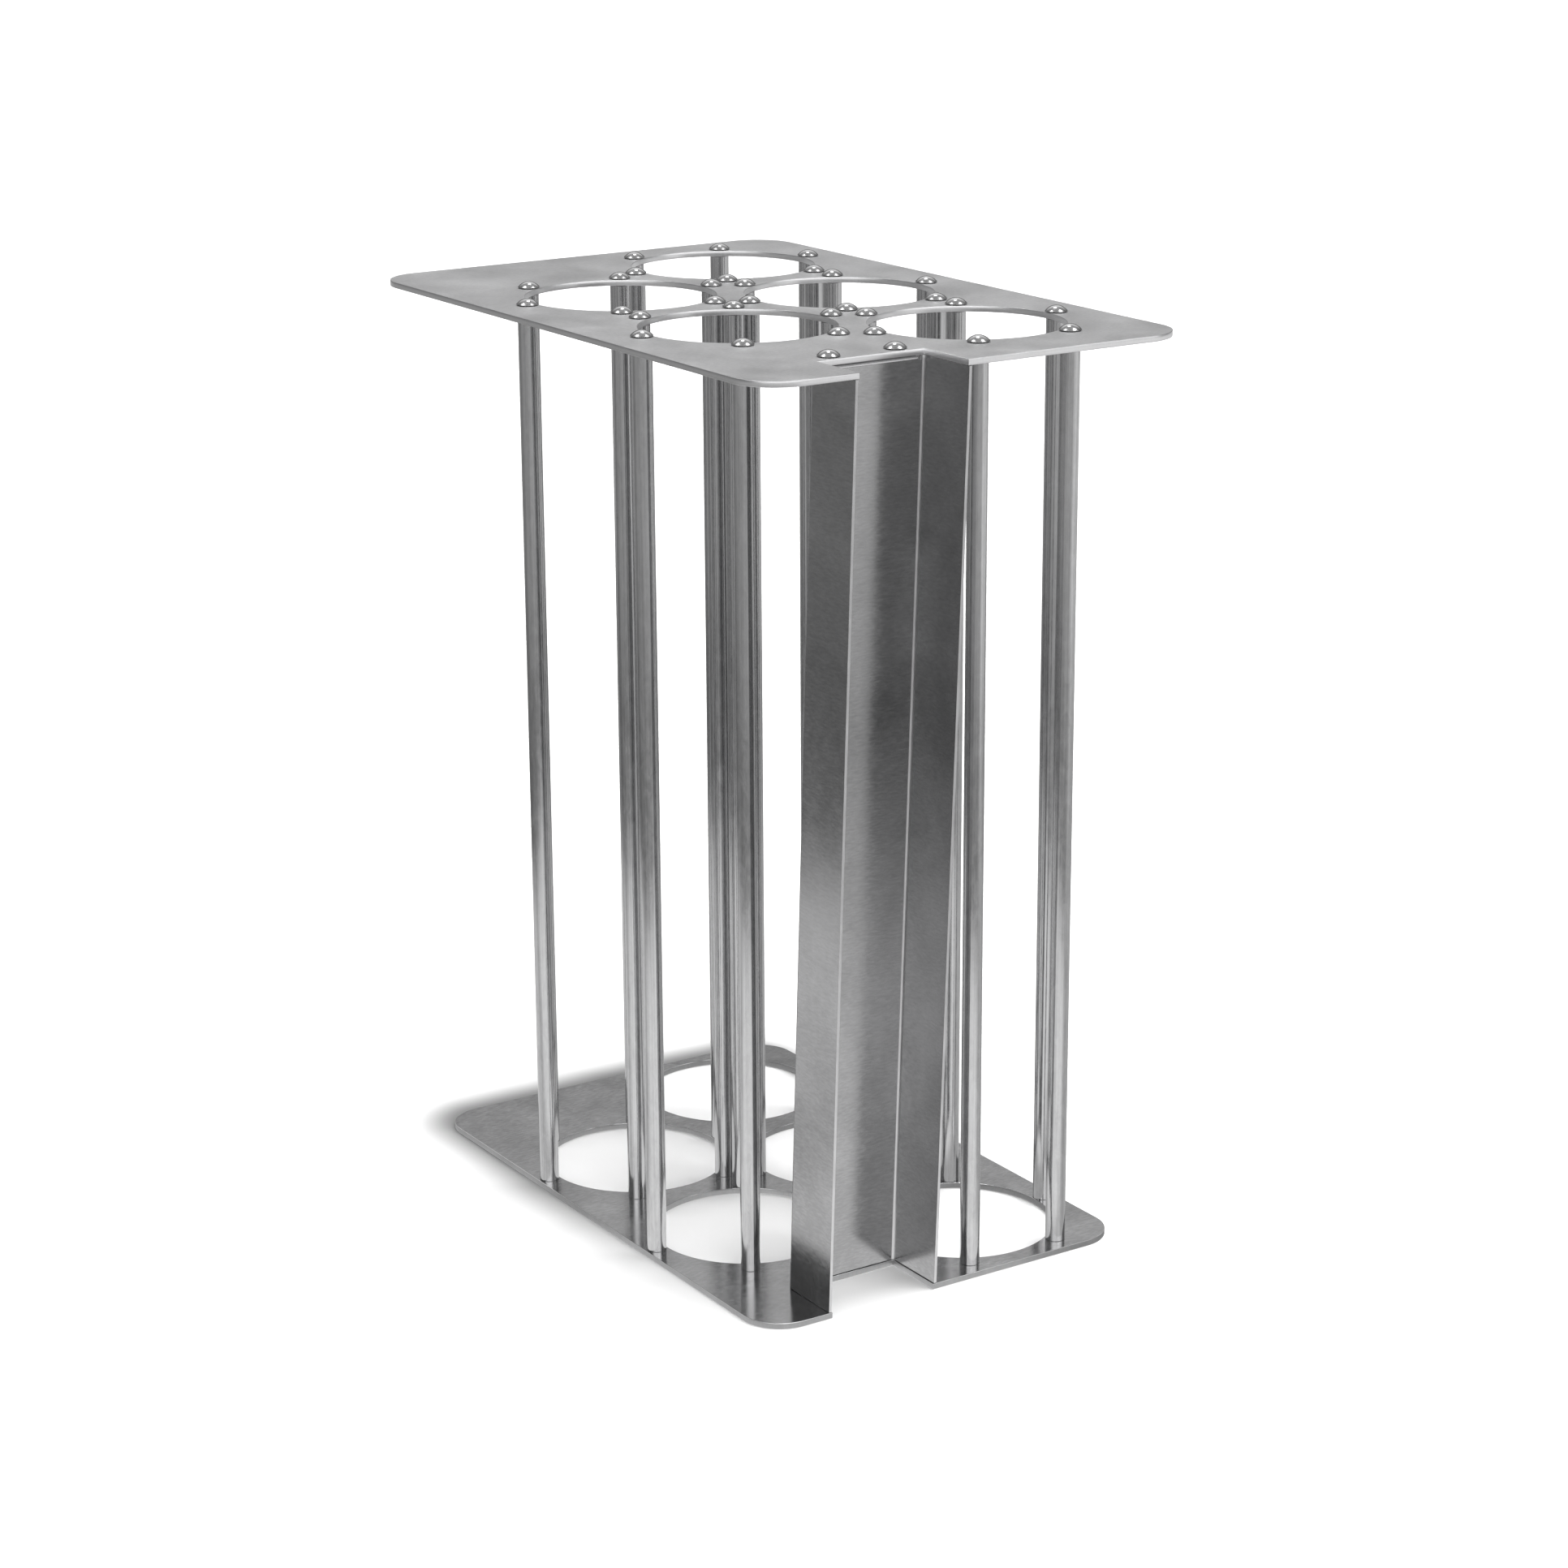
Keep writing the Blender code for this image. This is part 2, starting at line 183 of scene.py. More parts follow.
def rod_metal():
    """Drawn bar: bright, with fine lengthwise draw lines, dull blotches and nicks."""
    n = Nodes("drawn_bright_rod")
    n.bsdf.inputs["Metallic"].default_value = 1.0
    lines = n.noise(n.scaled((1100, 1100, 9)), 1.0, 2.0, 0.5)
    wide = n.noise(n.scaled((330, 330, 14)), 1.0, 3.0, 0.6, 0.3)
    blot = n.noise(n.scaled((280, 280, 95)), 1.0, 4.0, 0.68, 0.5)
    tone = n.math("ADD", n.math("MULTIPLY", n.ramp(lines, 0.3, 0.7, 0.0, 1.0), 0.32),
                  n.math("ADD", n.math("MULTIPLY", n.ramp(wide, 0.3, 0.7, 0.0, 1.0), 0.33),
                         n.math("MULTIPLY", n.ramp(blot, 0.33, 0.67, 0.0, 1.0), 0.35)))
    n.grey(tone, 0.47, 0.73)
    n.link(n.ramp(blot, 0.35, 0.70, 0.12, 0.21), n.bsdf.inputs["Roughness"])
    n.bump(n.math("ADD", n.math("MULTIPLY", lines, 0.4), n.math("MULTIPLY", blot, 1.0)),
           0.26, 0.00006)
    return n.mat


def rivet_metal():
    n = Nodes("bright_domed_rivet")
    n.bsdf.inputs["Metallic"].default_value = 1.0
    worn = n.noise(n.scaled((420, 420, 420)), 1.0, 3.0, 0.6)
    n.grey(n.ramp(worn, 0.3, 0.7, 0.0, 1.0), 0.56, 0.70)
    n.link(n.ramp(worn, 0.3, 0.7, 0.12, 0.22), n.bsdf.inputs["Roughness"])
    n.bump(worn, 0.15, 0.00006)
    return n.mat


MAT_TOP = sheet_metal("satin_top_sheet", 0.62, 0.88, 0.38, 0.48, (420, 1100, 420), 0.28)
MAT_BOT = sheet_metal("rubbed_bottom_sheet", 0.54, 0.80, 0.11, 0.21, (260, 900, 260), 0.05)
# the channel's tone darkens towards the floor: painted shade near the base
MAT_CH = sheet_metal("satin_channel_sheet", 0.36, 0.57, 0.16, 0.24, (260, 260, 1000), 0.012, 0.42)
EDGE_TOP = cut_edge("top_sheet_cut_edge", 0.90, 0.98, 0.28, 0.36, 0.05)
# cut edges of the bottom sheet, toned darker as painted shade for the shaded floor they mirror near the base
EDGE_BOT_SHADED = cut_edge("bottom_sheet_cut_edge_painted_shade", 0.34, 0.48, 0.36, 0.50)
# cut front edges of the channel, and a painted highlight along its bends
EDGE_CH_AND_BEND_HIGHLIGHT = cut_edge("channel_cut_edge_and_bend_highlight", 0.58, 0.76, 0.34, 0.46, 0.08)
MAT_ROD = rod_metal()
MAT_RIVET = rivet_metal()
# painted shade: a darker ring round the foot of each domed head
MAT_FLANK_SHADE = cut_edge("rivet_flank_painted_shade", 0.42, 0.52, 0.22, 0.32)


# -------------------------------------------------------------- mesh helpers
def add(name, mesh, mat, slot, *nodes, edge=None, is_edge=None):
    mesh.materials.clear()
    mesh.materials.append(mat)
    if edge is not None:
        mesh.materials.append(edge)
        for p in mesh.polygons:
            p.material_index = 1 if is_edge(p) else 0
    obj = bpy.data.objects.new(name, mesh)
    coll.objects.link(obj)
    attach(obj, "root")
    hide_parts(*nodes)
    return obj


def evaluated(obj):
    """The object's final mesh; the object goes away."""
    bpy.context.view_layer.update()
    dg = bpy.context.evaluated_depsgraph_get()
    mesh = bpy.data.meshes.new_from_object(obj.evaluated_get(dg))
    mesh.transform(obj.matrix_world)
    data = obj.data
    bpy.data.objects.remove(obj, do_unlink=True)
    if data.users == 0:
        (bpy.data.curves if isinstance(data, bpy.types.Curve) else bpy.data.meshes).remove(data)
    return mesh


def tidy(mesh, degrees, flat_z=False):
    bm = bmesh.new()
    bm.from_mesh(mesh)
    bmesh.ops.remove_doubles(bm, verts=bm.verts[:], dist=2e-6)
    bmesh.ops.recalc_face_normals(bm, faces=bm.faces[:])
    bm.to_mesh(mesh)
    bm.free()
    mesh.shade_smooth()
    mesh.set_sharp_from_angle(angle=math.radians(degrees))
    if flat_z:
        for p in mesh.polygons:
            if abs(p.normal.z) > 0.9999:
                p.use_smooth = False
    return mesh


def ring(cx, cy, radius, count):
    return [(cx + radius * math.cos(2 * math.pi * i / count),
             cy + radius * math.sin(2 * math.pi * i / count)) for i in range(count)]


def outline(left, right, front, back, radius, steps=20):
    pts = []
    for cx, cy, start in ((right - radius, back - radius, 0.0),
                          (left + radius, back - radius, 0.5 * math.pi),
                          (left + radius, front + radius, math.pi),
                          (right - radius, front + radius, 1.5 * math.pi)):
        if start == 1.5 * math.pi:
            a, b = NOTCH_X - NOTCH_W / 2.0, NOTCH_X + NOTCH_W / 2.0
            pts += [(a, front), (a, front + NOTCH_DEPTH),
                    (b, front + NOTCH_DEPTH), (b, front)]
        for i in range(steps + 1):
            t = start + 0.5 * math.pi * i / steps
            pts.append((cx + radius * math.cos(t), cy + radius * math.sin(t)))
    return pts


def sheet_mesh(name, loops, z_low):
    """Laser-cut sheet with softly broken edges."""
    curve = bpy.data.curves.new(name, "CURVE")
    curve.dimensions = "2D"
    curve.fill_mode = "BOTH"
    curve.extrude = SHEET / 2.0 - EDGE
    curve.bevel_depth = EDGE
    curve.bevel_resolution = 1
    curve.offset = -EDGE
    for loop in loops:
        s = curve.splines.new("POLY")
        s.points.add(len(loop) - 1)
        for p, (x, y) in zip(s.points, loop):
            p.co = (x, y, 0.0, 1.0)
        s.use_cyclic_u = True
    obj = bpy.data.objects.new(name, curve)
    coll.objects.link(obj)
    obj.location = (0.0, 0.0, z_low + SHEET / 2.0)
    return tidy(evaluated(obj), 50, True)


def turned(name, profile, steps):
    """A profile of (r, z) points spun round Z."""
    mesh = bpy.data.meshes.new(name)
    mesh.from_pydata([(r, 0.0, z) for r, z in profile],
                     [(i, i + 1) for i in range(len(profile) - 1)], [])
    obj = bpy.data.objects.new(name, mesh)
    coll.objects.link(obj)
    spin = obj.modifiers.new("spin", "SCREW")
    spin.axis = "Z"
    spin.angle = 2.0 * math.pi
    spin.steps = steps
    spin.render_steps = steps
    spin.use_merge_vertices = True
    spin.merge_threshold = 0.000004
    return tidy(evaluated(obj), 32)


def dome(z0, steps=10):
    """A domed head on z0, from its crown down, with a small rolled brim."""
    brim = 0.00035
    big = (HEAD_R ** 2 + (HEAD_H - brim) ** 2) / (2.0 * (HEAD_H - brim))
    spread = math.asin(HEAD_R / big)
    pts = [(big * math.sin(spread * i / steps),
            z0 + HEAD_H - big * (1.0 - math.cos(spread * i / steps)))
           for i in range(steps + 1)]
    pts[0] = (0.0, z0 + HEAD_H)
    pts.append((HEAD_R, z0 + 0.00012))
    pts.append((HEAD_R - 0.00012, z0))
    return pts


# -------------------------------------------------------------------- plates
def plate_loops(shape, rod_hole, extra, extra_r):
    loops = [outline(*shape)]
    loops += [ring(cx, cy, HOLE_R, 128) for _, cx, cy in CELLS]
    loops += [ring(x, y, rod_hole, 20) for _, _, x, y in RODS]
    loops += [ring(x, y, extra_r, 20) for x, y in extra]
    return loops


top = add("top_plate_fine", sheet_mesh("top_plate_fine", plate_loops(
    TOP, 0.0036, TOP_RIVETS, 0.0030), Z_TOP), MAT_TOP, "top_sheet", "top_plate",
    edge=EDGE_TOP, is_edge=lambda p: abs(p.normal.z) < 0.3)

base = bpy.data.objects.new("base_blank", sheet_mesh("base_blank", plate_loops(
    BOT, 0.0032, [], 0.0), 0.0))
coll.objects.link(base)
seat = turned("seat", [(0.0, SEAT_R - 0.0032 + 0.0007), (0.0028, SEAT_R - 0.0032 + 0.0007),
                       (SEAT_R + 0.0004, -0.0001), (0.0, -0.0001)], 24)
bm = bmesh.new()
for _, _, x, y in RODS:
    before = len(bm.verts)
    bm.from_mesh(seat)
    bm.verts.ensure_lookup_table()
    bmesh.ops.translate(bm, verts=bm.verts[before:], vec=Vector((x, y, 0.0)))
seats = bpy.data.meshes.new("seats")
bm.to_mesh(seats)
bm.free()
seats_obj = bpy.data.objects.new("seats", seats)
coll.objects.link(seats_obj)
sink = base.modifiers.new("countersinks", "BOOLEAN")
sink.operation = "DIFFERENCE"
sink.solver = "EXACT"
sink.object = seats_obj
base_mesh = evaluated(base)
bpy.data.objects.remove(seats_obj, do_unlink=True)
bpy.data.meshes.remove(seats)
bpy.data.meshes.remove(seat)
base_mesh.name = "bottom_plate_fine"
bottom = add("bottom_plate_fine", tidy(base_mesh, 40, True), MAT_BOT,
             "bottom_sheet", "bottom_plate",
             edge=EDGE_BOT_SHADED, is_edge=lambda p: abs(p.normal.z) < 0.3)


def dress_head(mesh):
    """Domed head: bright crown, and a darker flank where it meets the plate, which is painted shade at the
    joint.
    """
    crown, flank = len(mesh.materials), len(mesh.materials) + 1
    mesh.materials.append(MAT_RIVET)
    mesh.materials.append(MAT_FLANK_SHADE)
    for p in mesh.polygons:
        if p.center.z > Z_TOP + SHEET + GAP:
            p.material_index = crown if p.center.z > Z_TOP + SHEET + GAP + 0.0006 else flank


# ------------------------------------------------------------------- channel
def channel_mesh():
    """Bent sheet: middle surface first, thickened and edge-broken by modifiers."""
    half = NOTCH_W / 2.0 + CH_SETBACK + CH_SHEET / 2.0
    bend = CH_BEND_R + CH_SHEET / 2.0
    back = NOTCH_DEPTH + CH_SETBACK + CH_SHEET / 2.0
    flat, arcs = half - bend, 10
    low, high = Z_BOTTOM + GAP, Z_TOP - GAP
    fold = FLANGE_BEND_R + CH_SHEET / 2.0
    tilt = math.atan(-LEAN)
    drop = fold * math.tan((math.pi / 2 + tilt) / 2.0)

    def y_at(z, behind):
        return BOT[2] + LEAN * (z - Z_BOTTOM) + behind

    section = [(-half, 0.0), (-half, back - bend)]
    for i in range(1, arcs):
        a = math.pi - 0.5 * math.pi * i / arcs
        section.append((-half + bend + bend * math.cos(a), back - bend + bend * math.sin(a)))
    section.append((-flat, back))
    inner = [-FLANGE_W / 2 - FLANGE_RELIEF, -FLANGE_W / 2]
    section += [(x, back) for x in inner] + [(-x, back) for x in reversed(inner)]
    section.append((flat, back))
    for i in range(1, arcs):
        a = 0.5 * math.pi - 0.5 * math.pi * i / arcs
        section.append((half - bend + bend * math.cos(a), back - bend + bend * math.sin(a)))
    section += [(half, back - bend), (half, 0.0)]
    z_a = low
    z_b = high - CH_SHEET / 2.0 - drop * math.cos(tilt)

    bm = bmesh.new()
    base = [bm.verts.new((NOTCH_X + x, y_at(z_a, d), z_a)) for x, d in section]
    start = [bm.edges.new((base[i], base[i + 1])) for i in range(len(base) - 1)]

    def extrude(edges, move):
        out = bmesh.ops.extrude_edge_only(bm, edges=edges)["geom"]
        verts = [g for g in out if isinstance(g, bmesh.types.BMVert)]
        bmesh.ops.translate(bm, verts=verts, vec=move)
        return [g for g in out if isinstance(g, bmesh.types.BMEdge)
                and all(v in verts for v in g.verts)]

    def split(edges):
        middle, sides = [], []
        for e in edges:
            xs = [v.co.x - NOTCH_X for v in e.verts]
            a, b = min(xs), max(xs)
            if a >= -FLANGE_W / 2 - 1e-5 and b <= FLANGE_W / 2 + 1e-5:
                middle.append(e)
            elif b <= inner[0] + 1e-5 or a >= -inner[0] - 1e-5:
                sides.append(e)
        return middle, sides

    upper = extrude(start, Vector((0.0, LEAN * (z_b - z_a), z_b - z_a)))

    middle, sides = split(upper)
    extrude(sides, Vector((0.0, LEAN * (high - z_b), high - z_b)))
    run = Vector((0.0, LEAN, 1.0)).normalized()
    turn, steps = math.pi / 2 + tilt, 8
    chord = 2.0 * fold * math.sin(turn / steps / 2.0)
    for i in range(steps):
        rot = Matrix.Rotation(-turn * (i + 0.5) / steps, 3, "X")
        middle = extrude(middle, (rot @ run) * chord)
    extrude(middle, Vector((0.0, FLANGE_D - drop, 0.0)))
    bmesh.ops.recalc_face_normals(bm, faces=bm.faces[:])
    mesh = bpy.data.meshes.new("channel_middle")
    bm.to_mesh(mesh)
    bm.free()
    return mesh


ch = bpy.data.objects.new("channel_middle", channel_mesh())
coll.objects.link(ch)
thick = ch.modifiers.new("sheet", "SOLIDIFY")
thick.thickness = CH_SHEET
thick.offset = 0.0
thick.use_even_offset = True
thick.use_quality_normals = True
drills = []
for x, y, z in [(x, y, Z_TOP) for x, y in TOP_RIVETS]:
    d = turned("drill", [(0.0, 0.006), (0.0030, 0.006), (0.0030, -0.006), (0.0, -0.006)], 20)
    d.transform(Matrix.Translation((x, y, z)))
    o = bpy.data.objects.new("drill", d)
    coll.objects.link(o)
    m = ch.modifiers.new("hole", "BOOLEAN")
    m.operation = "DIFFERENCE"
    m.solver = "EXACT"
    m.object = o
    drills.append(o)
soft = ch.modifiers.new("broken_edges", "BEVEL")
soft.width = 0.00018
soft.segments = 2
soft.limit_method = "ANGLE"
soft.angle_limit = math.radians(60)
soft.use_clamp_overlap = True
ch_mesh = evaluated(ch)
for o in drills:
    d = o.data
    bpy.data.objects.remove(o, do_unlink=True)
    bpy.data.meshes.remove(d)
ch_mesh.name = "front_channel_fine"
channel = add("front_channel_fine", tidy(ch_mesh, 50), MAT_CH,
              "channel_sheet", "front_channel", edge=EDGE_CH_AND_BEND_HIGHLIGHT,
              # the cut front edges, and a painted highlight along the hollow of the upright bends and along
              # the top fold
              is_edge=lambda p: (p.normal.y < -0.9 and p.center.y - BOT[2]
                                 - LEAN * (p.center.z - Z_BOTTOM) < 0.0006)
              or (p.normal.y < -0.15 and p.center.y - BOT[2]
                  - LEAN * (p.center.z - Z_BOTTOM) > 0.02
                  and (abs(p.normal.x) > 0.15
                       or (p.normal.z > 0.12 and p.center.z > Z_TOP - 0.003))))
even = channel.modifiers.new("even_shading", "WEIGHTED_NORMAL")
even.keep_sharp = True

# ---------------------------------------------------------------------- rods
Z_HEAD = Z_TOP + SHEET + GAP
SEAM = 0.00008                                       # joint line under the shoulder
C = 0.00012                                          # chamfer at both rod ends
rod_profile = dome(Z_HEAD) + [
    (NECK_R, Z_HEAD), (NECK_R, Z_TOP - GAP), (ROD_R - C, Z_TOP - GAP),
    (ROD_R, Z_TOP - GAP - C), (ROD_R, 0.35), (ROD_R, 0.235), (ROD_R, 0.12),
    (ROD_R, Z_BOTTOM + SEAM + C), (ROD_R - C, Z_BOTTOM + SEAM), (SPIGOT_R, Z_BOTTOM + SEAM),
    (SPIGOT_R, FOOT_DEPTH), (FOOT_R, FOOT_LIFT), (0.0, FOOT_LIFT)]
rod_shape = turned("rod_shape", rod_profile, 48)
for i, (cell, deg, x, y) in enumerate(RODS):
    mesh = rod_shape.copy()
    mesh.transform(Matrix.Translation((x, y, 0.0))
                   @ Matrix.Rotation(math.radians(37.0 * i), 4, "Z"))
    mesh.name = "rod_%s_%03d_fine" % (cell, deg)
    rod = add(mesh.name, mesh, MAT_ROD, "rod", "rod_%s_%03d" % (cell, deg))
    dress_head(mesh)
bpy.data.meshes.remove(rod_shape)

# ------------------------------------------------------------ channel rivets
z_f = Z_TOP - GAP - CH_SHEET
top_rivet = turned("top_rivet", dome(Z_HEAD) + [
    (CH_NECK_R, Z_HEAD), (CH_NECK_R, z_f - GAP), (TAIL_R, z_f - GAP),
    (TAIL_R, z_f - GAP - 0.5 * TAIL_H), (TAIL_R * 0.7, z_f - GAP - TAIL_H),
    (0.0, z_f - GAP - TAIL_H)], 48)
for side, (x, y) in zip(("left", "right"), TOP_RIVETS):
    mesh = top_rivet.copy()
    mesh.transform(Matrix.Translation((x, y, 0.0)))
    mesh.name = "channel_rivet_%s_fine" % side
    add(mesh.name, mesh, MAT_RIVET, "rivet", "channel_rivet_" + side)
    dress_head(mesh)
bpy.data.meshes.remove(top_rivet)

# -------------------------------------------------------------------- camera
AZ, EL, ROLL = math.radians(57.05002), math.radians(16.73461), math.radians(-0.32368)
fwd = Vector((math.cos(EL) * math.cos(AZ), math.cos(EL) * math.sin(AZ), -math.sin(EL)))
right = fwd.cross(Vector((0, 0, 1))).normalized()
up = right.cross(fwd)
right2 = math.cos(ROLL) * right + math.sin(ROLL) * up
up2 = -math.sin(ROLL) * right + math.cos(ROLL) * up
cam_data = bpy.data.cameras.new("camera")
cam = bpy.data.objects.new("camera", cam_data)
coll.objects.link(cam)
cam_data.sensor_width = 36.0
cam_data.lens = 84.98
cam_data.clip_start, cam_data.clip_end = 0.05, 60.0
rot = Matrix((right2, up2, -fwd)).transposed().to_4x4()
cam.matrix_world = Matrix.Translation((-0.98605, -1.5364, 0.76868)) @ rot
scene.camera = cam


# --------------------------------------------------------------------- stage
def plain(name, build):
    mat = bpy.data.materials.new(name)
    mat.use_nodes = True
    mat.node_tree.nodes.clear()
    build(mat.node_tree)
    return mat


def floor_tree(t):
    """White floor with a painted soft shadow hugging the base, strongest at the back left."""
    N = t.nodes.new
    out = N("ShaderNodeOutputMaterial")
    d = N("ShaderNodeBsdfDiffuse")
    tc = N("ShaderNodeTexCoord")
    sep = N("ShaderNodeSeparateXYZ")
    t.links.new(tc.outputs["Object"], sep.inputs[0])

    def m(op, a, b):
        n = N("ShaderNodeMath")
        n.operation = op
        for i, x in enumerate((a, b)):
            if isinstance(x, (int, float)):
                n.inputs[i].default_value = x
            else:
                t.links.new(x, n.inputs[i])
        return n.outputs[0]

    def smooth(v, a, b, lo, hi):
        k = N("ShaderNodeMapRange")
        k.interpolation_type = "SMOOTHSTEP"
        for key, x in (("From Min", a), ("From Max", b), ("To Min", lo), ("To Max", hi)):
            k.inputs[key].default_value = x
        t.links.new(v, k.inputs["Value"])
        return k.outputs["Result"]

    round_r = BOT[4] + 0.004
    mid = ((BOT[0] + BOT[1]) / 2.0 - 0.001, (BOT[2] + BOT[3]) / 2.0 + 0.012)
    half = ((BOT[1] - BOT[0]) / 2.0 - round_r, (BOT[3] - BOT[2]) / 2.0 - round_r)
    qx = m("MAXIMUM", m("SUBTRACT", m("ABSOLUTE", m("SUBTRACT", sep.outputs["X"], mid[0]), 0.0),
                        half[0]), 0.0)
    qy = m("MAXIMUM", m("SUBTRACT", m("ABSOLUTE", m("SUBTRACT", sep.outputs["Y"], mid[1]), 0.0),
                        half[1]), 0.0)
    dist = m("SUBTRACT", m("SQRT", m("ADD", m("MULTIPLY", qx, qx), m("MULTIPLY", qy, qy)), 0.0),
             round_r)
    # painted shadow: the floor colour darkens near the base outline
    shade = m("MULTIPLY", smooth(dist, -0.008, 0.024, 1.0, 0.0), smooth(dist, -0.020, -0.006, 0.0, 1.0))
    shade = m("MULTIPLY", shade, smooth(sep.outputs["Y"], -0.13, 0.11, 0.16, 1.0))
    c = N("ShaderNodeValToRGB")
    c.color_ramp.elements[0].color = (0.82, 0.82, 0.82, 1.0)
    c.color_ramp.elements[1].color = (0.20, 0.20, 0.20, 1.0)
    t.links.new(shade, c.inputs["Fac"])
    t.links.new(c.outputs["Color"], d.inputs["Color"])
    t.links.new(d.outputs[0], out.inputs["Surface"])


bm = bmesh.new()
bmesh.ops.create_grid(bm, x_segments=1, y_segments=1, size=14.0)
floor_mesh = bpy.data.meshes.new("floor")
bm.to_mesh(floor_mesh)
bm.free()
floor = bpy.data.objects.new("floor", floor_mesh)
floor_mesh.materials.append(plain("pale_floor_painted_shadow", floor_tree))
floor.location = (0.0, 0.0, -0.0002)
coll.objects.link(floor)

# What the metal mirrors below the horizon: a sheet of pale paper round the stand and
# a darker studio floor beyond it, uneven from one side of the room to the other.  It
# lies on the floor and shows in glossy reflections only.
BEARINGS = (                    # bearing in degrees, paper level, level beyond it
    (0, 0.58, 0.42), (57, 0.56, 0.38), (95, 0.72, 0.26), (123, 0.74, 0.155),
    (142, 0.80, 0.18), (165, 0.62, 0.23), (199, 0.93, 0.24), (237, 0.94, 0.29),
    (275, 1.00, 0.31), (303, 0.52, 0.53), (332, 0.54, 0.47))


def beyond_tree(t):
    N = t.nodes.new
    out = N("ShaderNodeOutputMaterial")
    em = N("ShaderNodeEmission")
    tc = N("ShaderNodeTexCoord")
    sep = N("ShaderNodeSeparateXYZ")
    t.links.new(tc.outputs["Object"], sep.inputs[0])

    def m(op, a, b):
        n = N("ShaderNodeMath")
        n.operation = op
        for i, x in enumerate((a, b)):
            if isinstance(x, (int, float)):
                n.inputs[i].default_value = x
            else:
                t.links.new(x, n.inputs[i])
        return n.outputs[0]

    x, y = sep.outputs["X"], sep.outputs["Y"]
    r = m("SQRT", m("ADD", m("MULTIPLY", x, x), m("MULTIPLY", y, y)), 0.0)
    turn = m("FRACT", m("ADD", m("DIVIDE", m("ARCTAN2", y, x), 2.0 * math.pi), 1.0), 0.0)

    def levels(which):
        ramp = N("ShaderNodeValToRGB")
        ramp.color_ramp.interpolation = "EASE"
        e = ramp.color_ramp.elements
        stops = [(b[0] / 360.0, b[which]) for b in BEARINGS] + [(1.0, BEARINGS[0][which])]
        e[0].position = stops[0][0]
        e[1].position = stops[-1][0]
        for el, (_, v) in ((e[0], stops[0]), (e[1], stops[-1])):
            el.color = (v, v, v, 1.0)
        for p, v in stops[1:-1]:
            el = e.new(p)
            el.color = (v, v, v, 1.0)
        t.links.new(turn, ramp.inputs["Fac"])
        return ramp.outputs["Color"]

    edge = N("ShaderNodeMapRange")
    edge.interpolation_type = "SMOOTHSTEP"
    edge.inputs["From Min"].default_value = PAPER_R - PAPER_BLUR
    edge.inputs["From Max"].default_value = PAPER_R + PAPER_BLUR
    t.links.new(r, edge.inputs["Value"])
    mix = N("ShaderNodeMix")
    mix.data_type = "RGBA"
    t.links.new(edge.outputs["Result"], mix.inputs[0])
    t.links.new(levels(1), mix.inputs[6])
    t.links.new(levels(2), mix.inputs[7])
    t.links.new(mix.outputs[2], em.inputs["Color"])
    far = N("ShaderNodeMapRange")                    # lighter again towards the walls
    far.interpolation_type = "SMOOTHSTEP"
    far.inputs["From Min"].default_value = 0.95
    far.inputs["From Max"].default_value = 1.60
    far.inputs["To Min"].default_value = 1.0
    far.inputs["To Max"].default_value = 1.5
    t.links.new(r, far.inputs["Value"])
    t.links.new(far.outputs["Result"], em.inputs["Strength"])
    t.links.new(em.outputs[0], out.inputs["Surface"])


PAPER_R, PAPER_BLUR = 0.635, 0.11
bm = bmesh.new()
bmesh.ops.create_grid(bm, x_segments=2, y_segments=2, size=9.0)
beyond_mesh = bpy.data.meshes.new("mirrored_floor")
bm.to_mesh(beyond_mesh)
bm.free()
beyond_mesh.materials.append(plain("mirrored_floor", beyond_tree))
beyond = bpy.data.objects.new("mirrored_floor", beyond_mesh)
beyond.location = (0.0, 0.0, -0.0001)
coll.objects.link(beyond)
for flag in ("visible_camera", "visible_diffuse", "visible_shadow",
             "visible_transmission", "visible_volume_scatter"):
    setattr(beyond, flag, False)
floor.visible_glossy = False

# --------------------------------------------------------------------- light
world = bpy.data.worlds.new("soft_studio")
scene.world = world
world.use_nodes = True
wt = world.node_tree
wt.nodes.clear()


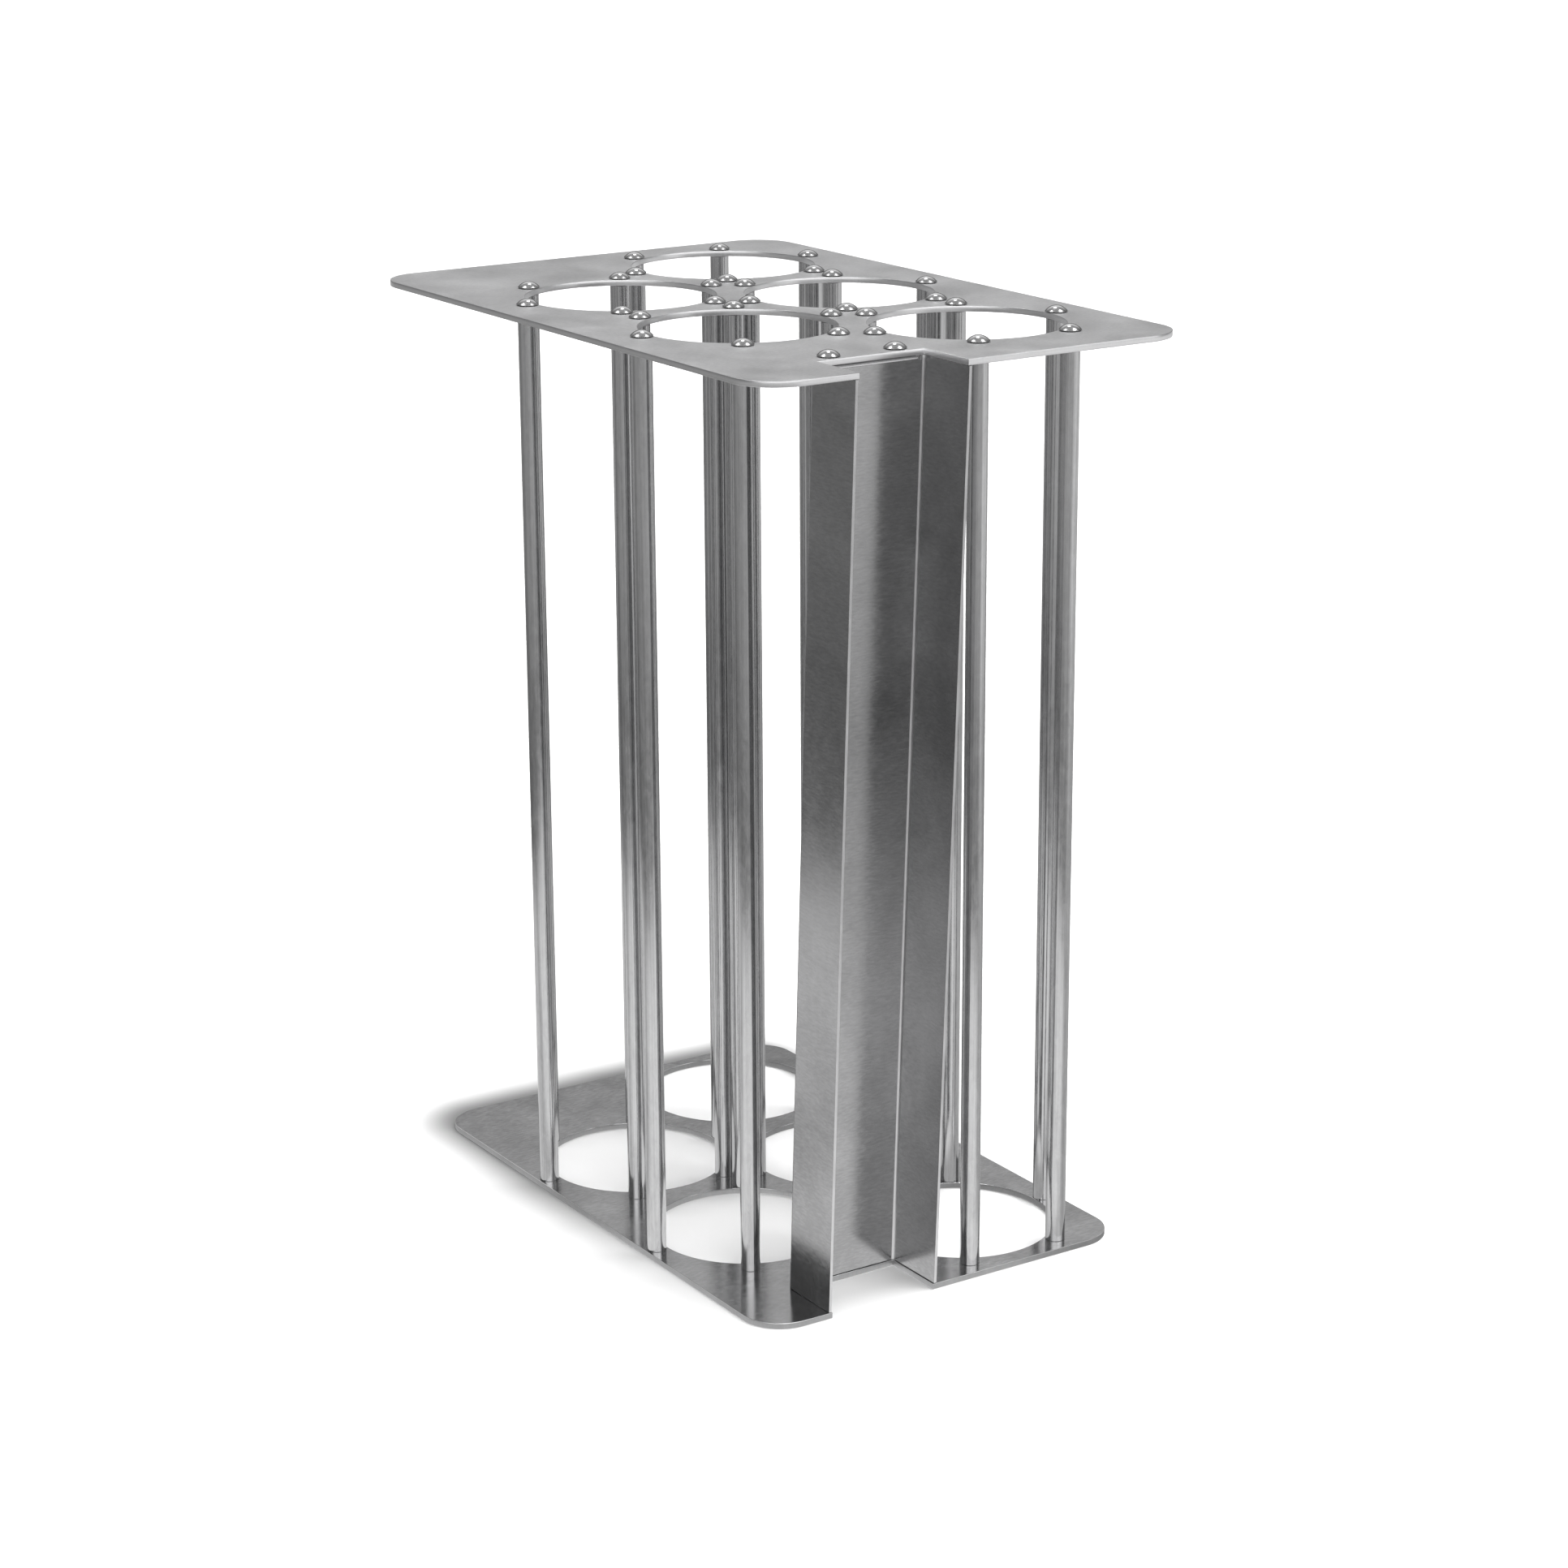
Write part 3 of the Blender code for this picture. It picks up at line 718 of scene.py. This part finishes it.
def world_tree(t):
    N = t.nodes.new
    out = N("ShaderNodeOutputWorld")
    bg = N("ShaderNodeBackground")
    tc = N("ShaderNodeTexCoord")

    def dot(v):
        n = N("ShaderNodeVectorMath")
        n.operation = "DOT_PRODUCT"
        n.inputs[1].default_value = v
        t.links.new(tc.outputs["Generated"], n.inputs[0])
        return n.outputs["Value"]

    def smooth(v, a, b, lo, hi):
        r = N("ShaderNodeMapRange")
        r.interpolation_type = "SMOOTHSTEP"
        r.inputs["From Min"].default_value = a
        r.inputs["From Max"].default_value = b
        r.inputs["To Min"].default_value = lo
        r.inputs["To Max"].default_value = hi
        t.links.new(v, r.inputs["Value"])
        return r.outputs["Result"]

    def add2(a, b):
        return mul2(a, b, "ADD")

    def mul2(a, b, op="MULTIPLY"):
        n = N("ShaderNodeMath")
        n.operation = op
        t.links.new(a, n.inputs[0])
        t.links.new(b, n.inputs[1])
        return n.outputs[0]

    high = smooth(dot((0, 0, 1)), 0.42, 0.92, WORLD_LOW, WORLD_HIGH)
    # a bright wall and ceiling line behind the stand, well above the horizon
    behind = mul2(smooth(dot((0.544, 0.839, 0)), 0.45, 0.90, 0.0, 1.0),
                  add2(smooth(dot((0, 0, 1)), 0.0, 0.25, 0.0, WORLD_BACK),
                       smooth(dot((0, 0, 1)), 0.32, 0.64, 0.0, WORLD_CEILING)))
    # windows in front of the stand, above the horizon
    ahead = mul2(smooth(dot((-0.20, -0.98, 0)), 0.15, 0.75, 0.0, WORLD_FRONT),
                 mul2(smooth(dot((0, 0, 1)), 0.02, 0.12, 0.0, 1.0),
                      smooth(dot((0, 0, 1)), 0.38, 0.62, 1.0, 0.0)))
    t.links.new(add2(add2(high, behind), ahead), bg.inputs["Strength"])
    t.links.new(bg.outputs[0], out.inputs["Surface"])


WORLD_LOW, WORLD_HIGH, WORLD_BACK, WORLD_CEILING, WORLD_FRONT = 0.16, 0.50, 0.12, 1.25, 1.60
world_tree(wt)


def area(name, direction, distance, size, radiance, glossy=True):
    light = bpy.data.lights.new(name, "AREA")
    light.shape = "SQUARE"
    light.size = size
    light.energy = radiance * math.pi * size * size
    obj = bpy.data.objects.new(name, light)
    coll.objects.link(obj)
    d = Vector(direction).normalized()
    obj.matrix_world = Matrix.Translation(Vector((0, 0, 0.3)) + d * distance) @ \
        d.to_track_quat("Z", "Y").to_matrix().to_4x4()
    obj.visible_glossy = glossy
    obj.visible_camera = False
    return obj


area("softbox_right", (0.359, -0.312, 0.875), 2.6, 0.75, 5.0)
area("softbox_left", (-0.431, 0.200, 0.875), 2.6, 0.75, 5.0)
area("softbox_back", (0.215, 0.331, 0.918), 2.6, 0.55, 4.0)

sun = bpy.data.lights.new("overcast", "SUN")
sun.energy = 4.8
sun.angle = math.radians(70.0)
sun_obj = bpy.data.objects.new("overcast", sun)
coll.objects.link(sun_obj)
sun_obj.matrix_world = Vector((0.24, -0.22, 0.945)).normalized().to_track_quat("Z", "Y").to_matrix().to_4x4()
sun_obj.visible_glossy = False

scene.view_settings.view_transform = "Standard"
scene.view_settings.look = "None"
scene.view_settings.exposure = 0.0
scene.view_settings.gamma = 1.0
